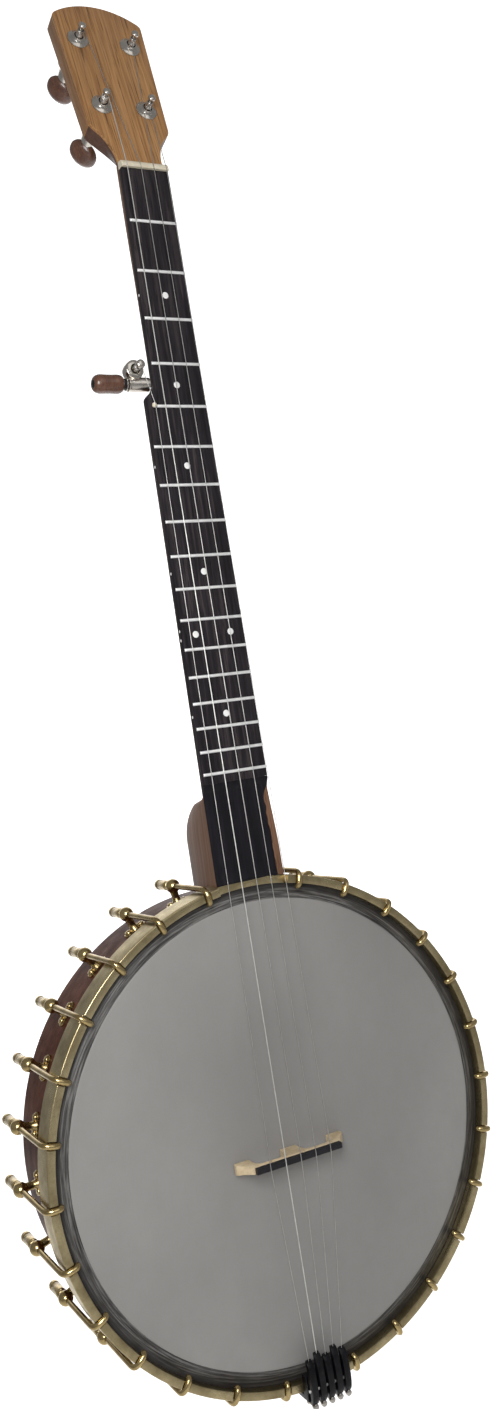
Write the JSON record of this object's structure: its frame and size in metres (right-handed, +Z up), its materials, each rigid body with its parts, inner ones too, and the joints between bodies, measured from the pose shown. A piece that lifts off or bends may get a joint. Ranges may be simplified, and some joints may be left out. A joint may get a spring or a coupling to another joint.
{
  "type": "banjo",
  "caption": "Open-back five-string banjo with a hooked drum pot, scooped fretted neck, geared tuning pegs, floating bridge and fingered tailpiece.",
  "frame": {"origin": "the place behind the nut, between the ears of the peghead, where a wall hanger's yoke holds the banjo", "axes": "+Z up along the neck, -Y out of the drum head towards the player's audience, +X towards the first string's side"},
  "size_m": [0.3406, 0.1144, 0.9478],
  "materials": {
    "walnut": "oiled walnut",
    "rim_wood": "satin red-brown stain",
    "board": "satin, near black, with silver frets",
    "bone": "polished bone",
    "brass": "brushed, aged",
    "nickel": "polished nickel",
    "steel": "bright steel",
    "head_film": "smoky translucent film",
    "maple": "bare maple",
    "black_metal": "black enamel",
    "button": "glossy dark wood",
    "string_wire": "bright wire"
  },
  "bodies": {
    "root": {"neck": "walnut", "fingerboard": "board", "nut": "bone", "rim": "rim_wood", "head": "head_film", "tension_hoop": "brass", "bracket_01": "brass", "bracket_02": "brass", "bracket_03": "brass", "bracket_04": "brass", "bracket_05": "brass", "bracket_06": "brass", "bracket_07": "brass", "bracket_08": "brass", "bracket_09": "brass", "bracket_10": "brass", "bracket_11": "brass", "bracket_12": "brass", "bracket_13": "brass", "bracket_14": "brass", "bracket_15": "brass", "bracket_16": "brass", "bracket_17": "brass", "bracket_18": "brass", "bracket_19": "brass", "bracket_20": "brass", "bracket_21": "brass", "bracket_22": "brass", "bracket_23": "brass", "bracket_24": "brass", "bracket_25": "brass", "bracket_26": "brass", "coordinator_rod": "steel", "peg_1_housing": "nickel", "peg_2_housing": "nickel", "peg_3_housing": "nickel", "peg_4_housing": "nickel", "fifth_peg_housing": "nickel", "tailpiece_frame": "black_metal", "bridge": "maple", "string_1": "string_wire", "string_2": "string_wire", "string_3": "string_wire", "string_4": "string_wire", "string_5": "string_wire"},
    "peg_1_button": {"peg_1_button": "button"},
    "peg_1_post": {"peg_1_post": "nickel"},
    "peg_2_button": {"peg_2_button": "button"},
    "peg_2_post": {"peg_2_post": "nickel"},
    "peg_3_button": {"peg_3_button": "button"},
    "peg_3_post": {"peg_3_post": "nickel"},
    "peg_4_button": {"peg_4_button": "button"},
    "peg_4_post": {"peg_4_post": "nickel"},
    "fifth_peg_button": {"fifth_peg_button": "button"},
    "fifth_peg_post": {"fifth_peg_post": "nickel"},
    "finger_1": {"tailpiece_finger_1": "black_metal"},
    "finger_2": {"tailpiece_finger_2": "black_metal"},
    "finger_3": {"tailpiece_finger_3": "black_metal"},
    "finger_4": {"tailpiece_finger_4": "black_metal"},
    "finger_5": {"tailpiece_finger_5": "black_metal"}
  },
  "joints": [
    {"name": "peg_1_button_turn", "type": "hinge", "parent": "root", "child": "peg_1_button", "pos_m": [-0.0162, 0.06125, 0.06955], "axis": [0, -0.9608, 0.2772], "continuous": true},
    {"name": "peg_1_post_turn", "type": "hinge", "parent": "root", "child": "peg_1_post", "pos_m": [-0.0162, 0.01369, 0.08327], "axis": [0, -0.9608, 0.2772], "continuous": true},
    {"name": "peg_2_button_turn", "type": "hinge", "parent": "root", "child": "peg_2_button", "pos_m": [0.0233, 0.06128, 0.06964], "axis": [0, -0.9608, 0.2772], "continuous": true},
    {"name": "peg_2_post_turn", "type": "hinge", "parent": "root", "child": "peg_2_post", "pos_m": [0.0233, 0.01372, 0.08336], "axis": [0, -0.9608, 0.2772], "continuous": true},
    {"name": "peg_3_button_turn", "type": "hinge", "parent": "root", "child": "peg_3_button", "pos_m": [-0.0126, 0.04545, 0.01478], "axis": [0, -0.9608, 0.2772], "continuous": true},
    {"name": "peg_3_post_turn", "type": "hinge", "parent": "root", "child": "peg_3_post", "pos_m": [-0.0126, -0.00211, 0.0285], "axis": [0, -0.9608, 0.2772], "continuous": true},
    {"name": "peg_4_button_turn", "type": "hinge", "parent": "root", "child": "peg_4_button", "pos_m": [0.0206, 0.0454, 0.01459], "axis": [0, -0.9608, 0.2772], "continuous": true},
    {"name": "peg_4_post_turn", "type": "hinge", "parent": "root", "child": "peg_4_post", "pos_m": [0.0206, -0.00216, 0.02831], "axis": [0, -0.9608, 0.2772], "continuous": true},
    {"name": "fifth_peg_button_turn", "type": "hinge", "parent": "root", "child": "fifth_peg_button", "pos_m": [-0.044, -0.0115, -0.172], "axis": [-1, 0, 0], "continuous": true},
    {"name": "fifth_peg_post_turn", "type": "hinge", "parent": "root", "child": "fifth_peg_post", "pos_m": [-0.026, -0.021, -0.1634], "axis": [0, -1, 0], "continuous": true},
    {"name": "finger_1_tilt", "type": "hinge", "parent": "root", "child": "finger_1", "pos_m": [0.0124, -0.0399, -0.822], "axis": [1, 0, 0], "range_deg": [-2, 2], "deforming": ["string_1"]},
    {"name": "finger_2_tilt", "type": "hinge", "parent": "root", "child": "finger_2", "pos_m": [0.0062, -0.0399, -0.822], "axis": [1, 0, 0], "range_deg": [-2, 2], "deforming": ["string_2"]},
    {"name": "finger_3_tilt", "type": "hinge", "parent": "root", "child": "finger_3", "pos_m": [0, -0.0399, -0.822], "axis": [1, 0, 0], "range_deg": [-2, 2], "deforming": ["string_3"]},
    {"name": "finger_4_tilt", "type": "hinge", "parent": "root", "child": "finger_4", "pos_m": [-0.0062, -0.0399, -0.822], "axis": [1, 0, 0], "range_deg": [-2, 2], "deforming": ["string_4"]},
    {"name": "finger_5_tilt", "type": "hinge", "parent": "root", "child": "finger_5", "pos_m": [-0.0124, -0.0399, -0.822], "axis": [1, 0, 0], "range_deg": [-2, 2], "deforming": ["string_5"]}
  ],
  "couplings": [
    {"joint": "peg_1_post_turn", "follows": "peg_1_button_turn", "ratio": 0.25},
    {"joint": "peg_2_post_turn", "follows": "peg_2_button_turn", "ratio": 0.25},
    {"joint": "peg_3_post_turn", "follows": "peg_3_button_turn", "ratio": 0.25},
    {"joint": "peg_4_post_turn", "follows": "peg_4_button_turn", "ratio": 0.25},
    {"joint": "fifth_peg_post_turn", "follows": "fifth_peg_button_turn", "ratio": 0.083333}
  ]
}
